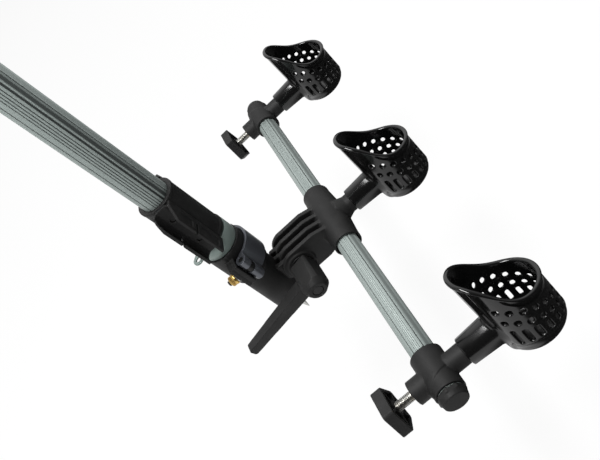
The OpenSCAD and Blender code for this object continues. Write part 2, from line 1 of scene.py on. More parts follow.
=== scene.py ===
import json
import math
import bmesh
import bpy
import numpy as np
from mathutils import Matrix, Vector


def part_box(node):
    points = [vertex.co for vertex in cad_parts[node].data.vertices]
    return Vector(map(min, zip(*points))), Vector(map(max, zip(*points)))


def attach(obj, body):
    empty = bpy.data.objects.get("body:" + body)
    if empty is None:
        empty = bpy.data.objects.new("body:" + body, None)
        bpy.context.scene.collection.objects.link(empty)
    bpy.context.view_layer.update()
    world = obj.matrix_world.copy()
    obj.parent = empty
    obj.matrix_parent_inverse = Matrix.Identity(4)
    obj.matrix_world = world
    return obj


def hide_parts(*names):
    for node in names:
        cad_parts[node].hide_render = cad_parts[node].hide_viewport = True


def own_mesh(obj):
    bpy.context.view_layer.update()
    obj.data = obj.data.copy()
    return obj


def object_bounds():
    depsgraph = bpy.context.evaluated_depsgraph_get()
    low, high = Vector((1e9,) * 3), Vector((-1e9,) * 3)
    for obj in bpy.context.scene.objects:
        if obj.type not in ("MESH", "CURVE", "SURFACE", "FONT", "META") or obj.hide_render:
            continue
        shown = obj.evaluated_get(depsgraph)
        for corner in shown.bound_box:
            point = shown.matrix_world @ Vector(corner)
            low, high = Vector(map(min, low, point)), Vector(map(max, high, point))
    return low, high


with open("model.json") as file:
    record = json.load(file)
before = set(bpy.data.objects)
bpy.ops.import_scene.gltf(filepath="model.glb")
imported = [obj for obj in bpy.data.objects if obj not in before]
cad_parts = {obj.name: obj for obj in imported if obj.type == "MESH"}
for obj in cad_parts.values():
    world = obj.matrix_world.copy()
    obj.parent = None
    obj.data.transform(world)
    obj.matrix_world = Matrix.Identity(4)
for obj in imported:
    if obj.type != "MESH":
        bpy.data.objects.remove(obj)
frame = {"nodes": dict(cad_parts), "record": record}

cad_low, cad_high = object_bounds()
nodes = frame["nodes"]
MM = 0.001


# Shader maths: a socket that adds nodes to its tree
class Value:
    """A shader socket whose operators add Math nodes, so that a finish reads as a formula."""

    def __init__(self, tree, socket):
        self.tree = tree
        self.socket = socket

    def make(self, kind, out, settings, sockets):
        """Adds a node of a type: its settings come first, then a value or a link for each socket."""
        node = self.tree.nodes.new(kind)
        for key, value in settings.items():
            setattr(node, key, value)
        for key, value in sockets.items():
            if isinstance(value, Value):
                self.tree.links.new(value.socket, node.inputs[key])
            else:
                node.inputs[key].default_value = value
        return Value(self.tree, node.outputs[out])

    def math(self, operation, *values):
        return self.make("ShaderNodeMath", 0, {"operation": operation}, dict(enumerate(values)))

    def __add__(self, other):
        return self.math("ADD", self, other)

    def __radd__(self, other):
        return self.math("ADD", other, self)

    def __sub__(self, other):
        return self.math("SUBTRACT", self, other)

    def __rsub__(self, other):
        return self.math("SUBTRACT", other, self)

    def __mul__(self, other):
        return self.math("MULTIPLY", self, other)

    def __rmul__(self, other):
        return self.math("MULTIPLY", other, self)

    def ramp(self, low, high):
        """0 below low, 1 above high and a smooth step between them."""
        settings = {"interpolation_type": "SMOOTHSTEP"}
        return self.make("ShaderNodeMapRange", 0, settings, {0: self, 1: low, 2: high, 3: 0.0, 4: 1.0})

    def blend(self, first, second):
        """The colour first where this value is 0, and second where it is 1."""
        return self.make("ShaderNodeMix", 2, {"data_type": "RGBA"}, {0: self, 6: first, 7: second})

    def stretch(self, x, y, z):
        return self.make("ShaderNodeMapping", 0, {}, {"Vector": self, "Scale": (x, y, z)})

    def noise(self, scale, detail=3.0):
        return self.make("ShaderNodeTexNoise", 0, {}, {"Vector": self, "Scale": scale, "Detail": detail})

    def bump(self, strength, distance):
        return self.make("ShaderNodeBump", 0, {}, {"Strength": strength, "Distance": distance, "Height": self})

    def named(self, attribute):
        """The piece's own attribute of that name, as a value."""
        return self.make("ShaderNodeAttribute", "Fac", {"attribute_name": attribute}, {})


def finish(name, look, **fixed):
    """A material: look takes Object coordinates and gives the sockets that vary, fixed gives the rest."""
    material = bpy.data.materials.new(name)
    material.use_nodes = True
    tree = material.node_tree
    shader = tree.nodes["Principled BSDF"]
    for key, value in fixed.items():
        shader.inputs[key.replace("_", " ")].default_value = value
    place = Value(tree, tree.nodes.new("ShaderNodeTexCoord").outputs["Object"])
    for key, value in look(place).items():
        tree.links.new(value.socket, shader.inputs[key])
    return material


def grey(level, warm=0.0):
    return (level * (1 + warm), level, level * (1 - warm), 1.0)


def moulded_black(place):
    """Black moulded nylon: a fine sparked grain, slow mottling and slightly polished patches."""
    grain = place.noise(2600.0, 2.0)
    mottle = place.noise(55.0)
    colour = mottle.ramp(0.3, 0.7).blend(grey(0.011), grey(0.015, 0.01))
    rough = 0.52 + 0.16 * grain - 0.06 * mottle.ramp(0.45, 0.75)
    return {"Base Color": colour, "Roughness": rough, "Normal": grain.bump(0.30, 0.0001)}


def cup_black(place):
    """Black moulded cup: near black and glossy, with faint flow marks and a few dull patches."""
    flow = place.stretch(1.0, 1.0, 0.35).noise(90.0)
    dull = place.noise(40.0)
    colour = flow.blend(grey(0.0032), grey(0.0050))
    rough = 0.11 + 0.08 * dull.ramp(0.4, 0.7) + 0.03 * flow
    return {"Base Color": colour, "Roughness": rough, "Normal": flow.bump(0.03, 0.0002)}


def drawn_tube(place):
    """Grey-green anodised tube: grooves and bands darkened by painted shade and painted dark reflection, and
    fine lines drawn along it.
    """
    painted_groove_shade = place.named("painted_groove_shade")
    lines = place.named("lines")
    cloud = place.noise(25.0)
    light = cloud.blend((0.292, 0.338, 0.323, 1.0), (0.324, 0.370, 0.355, 1.0))
    # painted shade and painted dark reflection: the grooves' colour goes down to this near black
    colour = painted_groove_shade.blend((0.016, 0.020, 0.020, 1.0), light)
    rough = 0.48 + 0.06 * lines + 0.05 * cloud
    return {"Base Color": colour, "Roughness": rough, "Metallic": 0.08 + 0.14 * painted_groove_shade,
            "Normal": cloud.bump(0.02, 0.0002)}


def ferrule_green(place):
    """Smooth anodised ferrule: turned rings, very faint, over a grey-green satin."""
    rings = place.stretch(8.0, 8.0, 2400.0).noise(1.0, 1.0)
    cloud = place.noise(30.0)
    colour = cloud.blend((0.205, 0.256, 0.238, 1.0), (0.238, 0.290, 0.271, 1.0))
    return {"Base Color": colour, "Roughness": 0.36 + 0.12 * rings, "Normal": rings.bump(0.12, 0.0001)}


def cam_satin(place):
    """Dark blue-grey coated metal: satin, with a slight orange peel."""
    peel = place.noise(900.0, 1.0)
    cloud = place.noise(60.0)
    colour = cloud.blend((0.092, 0.098, 0.112, 1.0), (0.114, 0.120, 0.136, 1.0))
    return {"Base Color": colour, "Roughness": 0.26 + 0.10 * peel, "Normal": peel.bump(0.12, 0.0001)}


def bright_zinc(place):
    """Bright zinc on turned steel: fine marks, slightly yellow in patches."""
    marks = place.noise(1500.0, 2.0)
    patch = place.noise(180.0)
    colour = patch.ramp(0.35, 0.65).blend((0.55, 0.55, 0.53, 1.0), (0.44, 0.43, 0.40, 1.0))
    return {"Base Color": colour, "Roughness": 0.24 + 0.18 * marks, "Normal": marks.bump(0.15, 0.00008)}


def black_oxide(place):
    """Blackened steel: dark, slightly oily and worn lighter in specks."""
    speck = place.noise(700.0, 2.0)
    colour = speck.ramp(0.6, 0.8).blend(grey(0.022), grey(0.060))
    return {"Base Color": colour, "Roughness": 0.38 + 0.15 * speck, "Normal": speck.bump(0.12, 0.0001)}


def turned_brass(place):
    """Turned brass: yellow, with fine marks and darker patches of tarnish."""
    marks = place.noise(1400.0, 2.0)
    patch = place.noise(220.0)
    colour = patch.ramp(0.4, 0.7).blend((0.72, 0.49, 0.16, 1.0), (0.52, 0.33, 0.10, 1.0))
    return {"Base Color": colour, "Roughness": 0.28 + 0.15 * marks, "Normal": marks.bump(0.15, 0.0001)}


def pale_nylon(place):
    """Natural nylon: cream, waxy and slightly mottled."""
    cloud = place.noise(120.0)
    colour = cloud.blend((0.60, 0.56, 0.46, 1.0), (0.68, 0.64, 0.54, 1.0))
    return {"Base Color": colour, "Roughness": 0.42 + 0.12 * cloud, "Normal": cloud.bump(0.06, 0.0002)}


def ring_rubber(place):
    """Black rubber: matt, with a dusty bloom."""
    bloom = place.noise(400.0)
    colour = bloom.ramp(0.4, 0.75).blend(grey(0.018), grey(0.034))
    return {"Base Color": colour, "Roughness": 0.75 + 0.12 * bloom, "Normal": bloom.bump(0.15, 0.0001)}


finishes = {
    "black_plastic": finish("moulded_black", moulded_black, Specular_IOR_Level=0.28),
    "cup_plastic": finish("cup_black", cup_black),
    "anodised_tube": finish("drawn_tube", drawn_tube),
    "ferrule_aluminium": finish("ferrule_green", ferrule_green, Metallic=0.45),
    "cam_metal": finish("cam_satin", cam_satin, Metallic=0.6),
    "steel": finish("bright_zinc", bright_zinc, Metallic=1.0),
    "blackened_steel": finish("black_oxide", black_oxide, Metallic=0.7),
    "brass": finish("turned_brass", turned_brass, Metallic=1.0),
    "nylon": finish("pale_nylon", pale_nylon),
    "ring_rubber": finish("ring_rubber", ring_rubber),
}
slot_of = {part["node"]: part["material_slot"] for part in frame["record"]["subparts"]}
body_of = {node: body for body, held in frame["record"]["behaviour"]["bodies"].items() for node in held}


# Surfaces as grids of points
MERGE_MM = 0.004


def grid_faces(rows, columns, start, round_rows=False, round_columns=False):
    """Four-cornered faces of a grid of points numbered row by row from start, closed on itself if asked."""
    r = np.arange(rows if round_rows else rows - 1)
    c = np.arange(columns if round_columns else columns - 1)
    r, c = (a.ravel() for a in np.meshgrid(r, c, indexing="ij"))
    down = (r + 1) % rows
    right = (c + 1) % columns
    corners = [r * columns + c, r * columns + right, down * columns + right, down * columns + c]
    return start + np.stack(corners, axis=1)


class Skin:
    """Grids of points, in millimetres, that are joined into one closed mesh."""

    def __init__(self):
        self.points = []
        self.faces = []
        self.count = 0

    def add(self, points, round_rows=False, round_columns=False):
        rows, columns = points.shape[:2]
        self.faces.append(grid_faces(rows, columns, self.count, round_rows, round_columns))
        self.points.append(points.reshape(-1, 3))
        self.count += rows * columns

    def piece(self, node, place=None, marks=None):
        """Makes the mesh that stands for a CAD node: doubles merged, faces outward, with its finish."""
        points = np.concatenate(self.points) * MM
        if place is not None:
            points = place(points)
        mesh = bpy.data.meshes.new(node + "_skin")
        mesh.from_pydata(points.tolist(), [], np.concatenate(self.faces).tolist())
        for name, values in (marks or {}).items():
            mesh.attributes.new(name, "FLOAT", "POINT").data.foreach_set("value", values.astype(np.float32))
        work = bmesh.new()
        work.from_mesh(mesh)
        bmesh.ops.remove_doubles(work, verts=work.verts, dist=MERGE_MM * MM)
        bmesh.ops.recalc_face_normals(work, faces=work.faces)
        work.to_mesh(mesh)
        work.free()
        mesh.polygons.foreach_set("use_smooth", np.ones(len(mesh.polygons), bool))
        obj = bpy.data.objects.new(node + "_skin", mesh)
        bpy.context.collection.objects.link(obj)
        obj.data.materials.append(finishes[slot_of[node]])
        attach(obj, body_of[node])
        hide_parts(node)
        return obj


def step(x, low, high):
    """Smooth step from 0 at low to 1 at high."""
    t = np.clip((x - low) / (high - low), 0, 1)
    return t * t * (3 - 2 * t)


def box_mm(node):
    low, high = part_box(node)
    return np.array(low) / MM, np.array(high) / MM


# Ribbed tubes: angle, width in degrees, depth in mm and how light each groove is left by its painted shade
LEG_GROOVES = [(-33.5, 3.4, 0.7, 0.02), (-11, 2.6, 0.5, 0.10), (-2, 2.6, 0.5, 0.10), (7, 2.6, 0.5, 0.10),
               (16, 2.6, 0.5, 0.10), (30, 7.5, 0.7, 0.04), (47, 15.0, 0.55, 0.10), (57.5, 5.5, 0.15, 0.45),
               (62, 3.2, 0.75, 0.02), (76, 21.0, 0.25, 0.66)]
BAR_GROOVES = [(62, 4.0, 0.6, 0.10), (78, 2.0, 0.3, 0.55), (86, 2.0, 0.3, 0.55), (94, 2.0, 0.3, 0.55),
               (102, 2.0, 0.3, 0.55), (118, 4.0, 0.6, 0.10), (40, 18.0, 0.1, 0.5), (-90, 16.0, 0.9, 0.4)]
TUBE_SAMPLES = 1440
TUBE_CHAMFER = 0.25
GROOVE_SQUARENESS = 8
LINE_SEED = 5


def ribbed_tube(node, radius, wall, grooves, ends, to_frame):
    """A tube whose radius drops by each groove's depth times 1 / (1 + (2 d / width) ** 8), where d is the
    angle from the groove. Its rows run from the bore over one chamfered end, along and over the other."""
    angle = np.arange(TUBE_SAMPLES) * 360.0 / TUBE_SAMPLES
    cut = np.zeros(TUBE_SAMPLES)
    # painted shade and painted dark reflection per angle: 1 on the plain tube, lower in each groove and band
    painted_groove_shade = np.ones(TUBE_SAMPLES)
    for at, width, depth, light in grooves:
        off = (angle - at + 180) % 360 - 180
        shape = 1 / (1 + (2 * off / width) ** GROOVE_SQUARENESS)
        cut = np.maximum(cut, depth * shape)
        painted_groove_shade = np.minimum(painted_groove_shade, 1 - (1 - light) * shape)
    bore = np.full(TUBE_SAMPLES, radius - wall)
    outer = radius - cut
    low, high = ends
    radii = np.stack([bore, outer - TUBE_CHAMFER, outer, outer, outer - TUBE_CHAMFER, bore])
    along = np.array([low, low, low + TUBE_CHAMFER, high - TUBE_CHAMFER, high, high])
    turn = np.radians(angle)
    points = np.stack([radii * np.cos(turn), radii * np.sin(turn), along[:, None] + 0 * radii], axis=2)
    skin = Skin()
    skin.add(to_frame(points), round_rows=True, round_columns=True)
    lines = np.random.default_rng(LINE_SEED).random(TUBE_SAMPLES)
    # the painted shade of the grooves goes on the mesh as an attribute, with the fine lines
    marks = {"painted_groove_shade": np.tile(painted_groove_shade, len(along)), "lines": np.tile(lines, len(along))}
    return skin.piece(node, marks=marks)


leg_low, leg_high = box_mm("leg_tube")
LEG_R = leg_high[0]
LEG_WALL = 1.8
leg_grooves = LEG_GROOVES + [(at + 180, *rest) for at, *rest in LEG_GROOVES]
ribbed_tube("leg_tube", LEG_R, LEG_WALL, leg_grooves, (leg_low[2], leg_high[2]), lambda p: p)

bar_low, bar_high = box_mm("crossbar")
BAR_R = (bar_high[2] - bar_low[2]) / 2
BAR_Y = (bar_low[1] + bar_high[1]) / 2
BAR_Z = bar_high[2] - BAR_R
BAR_WALL = 1.8


def lay_along_bar(points):
    """Turns a tube's axis from Z to X, its angle then running from +Y to +Z, and sets it on the bar's axis."""
    return np.stack([points[..., 2], points[..., 0] + BAR_Y, points[..., 1] + BAR_Z], axis=-1)


ribbed_tube("crossbar", BAR_R, BAR_WALL, BAR_GROOVES, (bar_low[0], bar_high[0]), lay_along_bar)


# Turned pieces
def turned(node, profile, to_frame, sides=96):
    """A profile of points (radius, distance along the axis), carried round the axis and closed."""
    profile = np.array(profile, float)
    turn = np.arange(sides) * 2 * np.pi / sides
    radius = profile[:, :1]
    points = np.stack([radius * np.cos(turn), radius * np.sin(turn), profile[:, 1:] + 0 * turn], axis=2)
    skin = Skin()
    skin.add(to_frame(points), round_rows=True, round_columns=True)
    return skin.piece(node)


fer_low, fer_high = box_mm("ferrule")
FER_R = fer_high[0]
SPIGOT_R = LEG_R + 3.0
FER_BORE = LEG_R + 1.6
FER_STEP = BAR_Z + 68.5
FER_EDGE = 0.4
turned("ferrule", [(FER_BORE, fer_low[2]), (SPIGOT_R - FER_EDGE, fer_low[2]), (SPIGOT_R, fer_low[2] + FER_EDGE),
                   (SPIGOT_R, FER_STEP), (FER_R - FER_EDGE, FER_STEP), (FER_R, FER_STEP + FER_EDGE),
                   (FER_R, fer_high[2] - FER_EDGE), (FER_R - FER_EDGE, fer_high[2]), (FER_BORE, fer_high[2])],
       lambda p: p)


pin_low, pin_high = box_mm("knuckle_pins")
PIN_R = (pin_high[2] - pin_low[2]) / 2
PIN_Z = (pin_low[2] + pin_high[2]) / 2
PIN_PROUD = 0.15
PIN_DEEP = 6
PIN_EDGE = 0.25
PIN_SIDES = 48
pins = Skin()
for side in (-1, 1):
    turn = side * np.arange(PIN_SIDES) * 2 * np.pi / PIN_SIDES
    pin_r = np.array([[0.0], [PIN_R], [PIN_R], [PIN_R - PIN_EDGE], [0.0]])
    pin_x = side * np.array([[LEG_R - PIN_DEEP], [LEG_R - PIN_DEEP], [LEG_R - 0.1],
                             [LEG_R + PIN_PROUD], [LEG_R + PIN_PROUD]])
    pins.add(np.stack([pin_x + 0 * turn, pin_r * np.cos(turn), PIN_Z + pin_r * np.sin(turn)], axis=2),
             round_columns=True)
pins.piece("knuckle_pins")


def knurled_nut(node, flange=3.0, teeth=36, sides=288, knurl=0.12, bore=2.54, edge=0.3, end_edge=0.5):
    """A nut along Y: a plain flange, then a body whose radius drops by a cosine of the turn for its knurl."""
    low, high = box_mm(node)
    crest = (high[0] - low[0]) / 2
    middle = (low + high) / 2
    turn = np.arange(sides) * 2 * np.pi / sides
    wave = 0.5 - 0.5 * np.cos(teeth * turn)
    body = crest - 0.4 - knurl * wave
    rows = [(bore, high[1]), (crest - edge, high[1]), (crest, high[1] - edge), (crest, high[1] - flange + edge),
            (crest - edge, high[1] - flange), (body, high[1] - flange), (body, low[1] + end_edge),
            (body - end_edge, low[1]), (bore, low[1])]
    radius = np.stack([r + 0 * turn for r, _ in rows])
    along = np.array([[y] for _, y in rows])
    skin = Skin()
    skin.add(np.stack([middle[0] + radius * np.cos(turn), along + 0 * radius,
                       middle[2] + radius * np.sin(turn)], axis=2), round_rows=True, round_columns=True)
    return skin.piece(node)


knurled_nut("adjuster_nut")


def threaded(node, pitch=1.25, depth=0.62, sides=40, rows_per_turn=10, tip_r=2.0, tip_len=3.0, tip_edge=0.4):
    """A screw along Y: its radius drops from the crest by depth times a wave of the height less the turn."""
    low, high = box_mm(node)
    crest = (high[0] - low[0]) / 2
    middle = (low + high) / 2
    tip_y = high[1] - tip_len
    rows = int((tip_y - low[1]) / pitch * rows_per_turn)
    along = np.linspace(low[1], tip_y, rows)[:, None]
    turn = np.arange(sides) * 2 * np.pi / sides
    wave = np.abs(((along / pitch + turn / (2 * np.pi)) % 1) * 2 - 1)
    ease = step(along, low[1], low[1] + 1) * (1 - step(along, tip_y - 1, tip_y))
    radius = crest - depth * (1 - step(wave, 0.1, 0.9) * ease)
    ends = [(0.0, low[1]), (tip_r, tip_y), (tip_r, high[1] - tip_edge), (tip_r - tip_edge, high[1]),
            (0.0, high[1])]
    radius = np.concatenate([np.full((1, sides), ends[0][0]), radius,
                             np.array([[r] * sides for r, _ in ends[1:]])])
    along = np.concatenate([[[ends[0][1]]], along, [[y] for _, y in ends[1:]]])
    points = np.stack([middle[0] + radius * np.cos(turn), along + 0 * radius,
                       middle[2] + radius * np.sin(turn)], axis=2)
    skin = Skin()
    skin.add(points, round_columns=True)
    return skin.piece(node)


for screw in ("near_clamp_screw", "far_clamp_screw"):
    threaded(screw)


# The lever's spring, built at one length (the real one shortens as the lever lifts)
COIL_TURNS = 4
COIL_WIRE = 0.5


def coiled(node, sides=12, steps=40):
    """A spring along X: a round wire whose middle goes round the axis and on along it at one rate. Its ends
    are closed by rows of no width."""
    low, high = box_mm(node)
    middle = (low + high) / 2
    share = np.linspace(0, 1, COIL_TURNS * steps + 1)
    share = np.concatenate([share[:1], share, share[-1:]])[:, None]
    wire = np.full(share.shape, COIL_WIRE)
    wire[[0, -1]] = 0
    turn = 2 * np.pi * COIL_TURNS * share
    side = np.arange(sides) * 2 * np.pi / sides
    radius = (high[1] - low[1]) / 2 - COIL_WIRE + wire * np.cos(side)
    along = low[0] + COIL_WIRE + (high[0] - low[0] - 2 * COIL_WIRE) * share + wire * np.sin(side)
    skin = Skin()
    skin.add(np.stack([along, middle[1] + radius * np.cos(turn), middle[2] + radius * np.sin(turn)], axis=2),
             round_columns=True)
    obj = skin.piece(node)
    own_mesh(obj)


coiled("handle_spring")


# Butt cup, in millimetres about its own axis; psi is the angle from its front
CUP_R = 25.0
CUP_RI = 23.2
LOW_R = 24.5
SPINE_RISE = 1.9
FLOOR_OUT = -23.2
FLOOR_IN = -21.0
FILLET_OUT = 7.0
FILLET_IN = 5.2
HOLE_STEP = 18.5
HOLE_COLUMNS = 15
HOLE_R = 2.5
SLOT_HALF = 2.25
SIDE = 8
PANEL_EDGE = 148.5
SOCKET_MOUTH = -50.9
SOCKET_R = 11.3
SOCKET_ROOT_R = 12.5
SOCKET_BORE = 8.86
SOCKET_FILLET = 4.0
SOCKET_SIDES = 96
SOCKET_DEEP = -29.0
FLOOR_RINGS = (14.0, 6.0, 0.0)
RIM_FRONT = 20.5
RIM_SLOPE = 0.12
TONGUE_RISE = 32.5
TONGUE_AT = -9.6
TONGUE_EASE = 6.25
UPPER_ROW = 15.9
UPPER_SLOPE = 0.6
MIDDLE_ROW = 5.6
MIDDLE_SLOPE = 0.5
CORNER_START = 135.0
CORNER_RISE = 6.0
LIP_OUT = 1.9
LIP_HIGH = 1.4
# The recessed band under the lip: drop below the rim, share of the depth and slant of its end, row by row
BAND_DEPTH = 1.0
BAND_END = 103.0
BAND_ROWS = [(8.6, 0.0, 0), (8.3, 0.0, 0), (8.1, 0.06, 0), (7.95, 0.22, 0), (7.85, 0.5, 0), (7.75, 0.85, 0),
             (7.6, 1.0, 0), (5.4, 1.0, 3), (3.7, 1.0, 6), (3.4, 0.5, 6)]


def front(psi):
    """How far a point of the wall is toward the cup's front, from -25 at the spine to 25."""
    return CUP_R * np.cos(np.radians(psi))


def rim_height(psi):
    """The rim: low and sloping at the front, and a tongue that rises along a smooth step at the back."""
    v = front(psi)
    return RIM_FRONT + RIM_SLOPE * (CUP_R - v) + TONGUE_RISE / (1 + np.exp((v - TONGUE_AT) / TONGUE_EASE))


def upper_row(psi):
    return UPPER_ROW - UPPER_SLOPE * front(psi)


def middle_row(psi):
    return MIDDLE_ROW - MIDDLE_SLOPE * front(psi)


def slot_top(psi):
    v = front(psi)
    return -0.3 - np.where(v > 0, 0.45, 0.33) * v


def slot_low(psi):
    return -10.5 - 0.18 * np.maximum(front(psi), 0)


def edges(psi):
    """Heights of the lines that part the rows of holes, from the panel's lower edge upwards."""
    panel_low = slot_low(psi) - 1.4
    off = np.abs(psi - 360 * (psi > 180))
    corner = np.clip((off - CORNER_START) / (PANEL_EDGE - CORNER_START), 0, 1)
    panel_low = panel_low + CORNER_RISE * (1 - np.sqrt(1 - corner ** 2))
    low_line = (slot_top(psi) + middle_row(psi) - HOLE_R) / 2
    mid_line = (upper_row(psi) + middle_row(psi)) / 2
    return np.stack([panel_low, low_line, mid_line, upper_row(psi) + 4.2])


def spine_swell(psi):
    """1 on the spine at the back, and 0 beyond the panel's edges."""
    return 1 - step(180 - np.abs((psi + 180) % 360 - 180), 17, 31)


def on_panel(psi):
    """1 on the perforated panel, and 0 past its upright edges."""
    off = np.abs((psi + 180) % 360 - 180)
    return 1 - step(off, PANEL_EDGE - 0.3, PANEL_EDGE + 0.3)


def wall_radius(psi):
    return LOW_R + (CUP_R - LOW_R) * on_panel(psi) + SPINE_RISE * spine_swell(psi)


def round_axis(psi, radius, height):
    """Points at an angle, radius and height about the cup's axis."""
    turn = np.radians(psi)
    return np.stack(np.broadcast_arrays(radius * np.sin(turn), radius * np.cos(turn), height), axis=-1)


def hole_cells(skin):
    """Each hole sits in a cell of the wall. Rings of points run from the cell's inner edge, through the
    hole's two chamfers and its wall, to the cell's outer edge; a hole is a superellipse, round or a slot."""
    column = HOLE_STEP * (np.arange(HOLE_COLUMNS) - HOLE_COLUMNS // 2)
    t = np.arange(4 * SIDE) / SIDE
    side = t.astype(int)
    f = 2 * (t - side) - 1
    u = np.choose(side, [f, 1 + 0 * f, -f, -1 + 0 * f])
    w = np.choose(side, [-1 + 0 * f, f, 1 + 0 * f, -f])
    turn = np.radians(-135 + 90 * t)
    centres = [(slot_top(column) + slot_low(column)) / 2, middle_row(column), upper_row(column)]
    heights = [(slot_top(column) - slot_low(column)) / 2, HOLE_R + 0 * column, HOLE_R + 0 * column]
    widths = [SLOT_HALF, HOLE_R, HOLE_R]
    powers = [4.2, 2.4, 2.4]
    rings = [(None, CUP_RI), (-0.25, CUP_RI), (-0.55, CUP_RI + 0.3), (0.0, CUP_R - 0.4), (0.35, CUP_R),
             (0.6, CUP_R), (None, CUP_R)]
    for row in range(3):
        cos = np.sign(np.cos(turn)) * np.abs(np.cos(turn)) ** (2 / powers[row])
        sin = np.sign(np.sin(turn)) * np.abs(np.sin(turn)) ** (2 / powers[row])
        edge_psi = column[:, None] + HOLE_STEP / 2 * u
        lines = edges(edge_psi)
        edge_z = (lines[row] * (1 - w) + lines[row + 1] * (1 + w)) / 2
        layers = []
        for grow, radius in rings:
            if grow is None:
                layers.append(round_axis(edge_psi, radius, edge_z))
            else:
                arc = np.degrees((widths[row] + grow) * cos / CUP_R)
                z = centres[row][:, None] + (heights[row][:, None] + grow) * sin
                layers.append(round_axis(column[:, None] + arc, radius, z))
        for cell in np.stack(layers, axis=1):
            skin.add(cell, round_columns=True)


def wall_angles():
    """All the angles round the wall: the cells' own, then the spine's, closer at the panel's edges."""
    half = HOLE_STEP * HOLE_COLUMNS / 2
    cells = np.linspace(-half, half, HOLE_COLUMNS * SIDE + 1)
    first = np.concatenate([np.linspace(half, PANEL_EDGE - 0.6, 6), [PANEL_EDGE - 0.2, PANEL_EDGE + 0.3],
                            np.linspace(PANEL_EDGE + 1.5, 180, 16)])
    spine = np.concatenate([first, 360 - first[-2::-1]])
    return cells, spine


def cup_wall(skin):
    """The spine's outer and inner faces, whose rows carry on from the cells beside it."""
    spine = wall_angles()[1]
    lines = edges(spine)
    part = np.arange(SIDE) / SIDE
    rows = [lines[i] + (lines[i + 1] - lines[i]) * s for i in range(3) for s in part] + [lines[3]]
    heights = np.stack(rows)
    skin.add(round_axis(spine, wall_radius(spine), heights))
    skin.add(round_axis(spine, CUP_RI, heights))


def cup_rim(skin):
    """From the top line of the cells up the outside, past the recessed band, over the rolled lip, which is
    an arc of an ellipse, and down the inside."""
    cells, spine = wall_angles()
    psi = np.concatenate([cells[:-1], spine[:-1]])
    off = np.abs((psi + 180) % 360 - 180)
    rim = rim_height(psi)
    top_line = edges(psi)[3]
    base = wall_radius(psi)
    lip_base = CUP_R + 0.3 * spine_swell(psi)
    radii = [base]
    heights = [top_line]
    for drop, deep, slant in BAND_ROWS:
        band = deep * BAND_DEPTH * (1 - step(off, BAND_END + slant, BAND_END + 3 + slant))
        radii.append(base - band)
        heights.append(np.maximum(rim - drop, top_line + 0.05 * (8.8 - drop)))
    for a in np.radians(np.linspace(-45, 180, 15)):
        radii.append(lip_base - 0.1 + LIP_OUT * np.cos(a))
        heights.append(rim - LIP_HIGH + LIP_HIGH * np.sin(a))
    for drop in (3.4, 6.0):
        radii.append(CUP_RI + 0 * psi)
        heights.append(rim - drop)
    radii.append(CUP_RI + 0 * psi)
    heights.append(top_line)
    skin.add(round_axis(psi, np.stack(radii), np.stack(heights)), round_columns=True)


def cup_floor(skin):
    """Below the panel: a small step, the wall, a round fillet and the flat floor, outside and then inside."""
    cells, spine = wall_angles()
    psi = np.concatenate([cells[:-1], spine[:-1]])
    panel_low = edges(psi)[0]
    base = wall_radius(psi)
    bend = np.radians(np.linspace(0, 90, 8))[:, None]
    low = LOW_R + SPINE_RISE * spine_swell(psi) * 0.6
    radii = [base, np.minimum(base, low) + 0 * psi]
    heights = [panel_low, panel_low - 0.45]
    arc_r = low - FILLET_OUT * (1 - np.cos(bend))
    arc_z = FLOOR_OUT + FILLET_OUT * (1 - np.sin(bend)) + 0 * psi
    flat = np.array(FLOOR_RINGS)[:, None] + 0 * psi
    outer_r = np.concatenate([np.stack(radii), arc_r, flat])
    outer_z = np.concatenate([np.stack(heights), arc_z, FLOOR_OUT + 0 * flat])
    skin.add(round_axis(psi, outer_r, outer_z), round_columns=True)
    arc_r = CUP_RI - FILLET_IN * (1 - np.cos(bend)) + 0 * psi
    arc_z = FLOOR_IN + FILLET_IN * (1 - np.sin(bend)) + 0 * psi
    arc_z = np.minimum(arc_z, panel_low - 0.1)
    inner_r = np.concatenate([CUP_RI + 0 * psi[None], arc_r, flat])
    inner_z = np.concatenate([panel_low[None], arc_z, FLOOR_IN + 0 * flat])
    skin.add(round_axis(psi, inner_r, inner_z), round_columns=True)


def cup_socket(skin):
    """The socket along -Y: a tapering tube from its rounded mouth to a fillet whose height over the wall is
    its radius times 1 - sin, so that it runs out on the curved wall; inside it is the stem's bore."""
    turn = np.arange(SOCKET_SIDES) * 2 * np.pi / SOCKET_SIDES
    mouth = [(SOCKET_BORE, SOCKET_DEEP), (SOCKET_BORE, SOCKET_MOUTH + 0.6), (SOCKET_BORE + 0.6, SOCKET_MOUTH),
             (SOCKET_R - 1.0, SOCKET_MOUTH), (SOCKET_R - 0.3, SOCKET_MOUTH + 0.3),
             (SOCKET_R, SOCKET_MOUTH + 1.0)]
    bend = np.radians(np.linspace(0, 90, 9))
    foot = SOCKET_ROOT_R + SOCKET_FILLET * (1 - np.cos(bend))
    radius = np.array([r for r, _ in mouth] + list(foot) + [8.0])
    x = radius[:, None] * np.cos(turn)
    z = radius[:, None] * np.sin(turn)
    gap = np.concatenate([SOCKET_FILLET * (1 - np.sin(bend)), [-0.6]])[:, None]
    root = -np.sqrt((CUP_R - 0.2) ** 2 - x[len(mouth):] ** 2) - gap
    y = np.concatenate([np.array([[y] * SOCKET_SIDES for _, y in mouth]), root])
    skin.add(np.stack([x, y, z], axis=2), round_rows=True, round_columns=True)


cup_shape = Skin()
hole_cells(cup_shape)
cup_wall(cup_shape)
cup_rim(cup_shape)
cup_floor(cup_shape)
cup_socket(cup_shape)

CUP_REACH = 75.5
CUP_PITCH = 193.5
CUP_ROLLS = {"near_cup": (CUP_PITCH, 17.0), "mid_cup": (0.0, 8.5), "far_cup": (-CUP_PITCH, 1.5)}


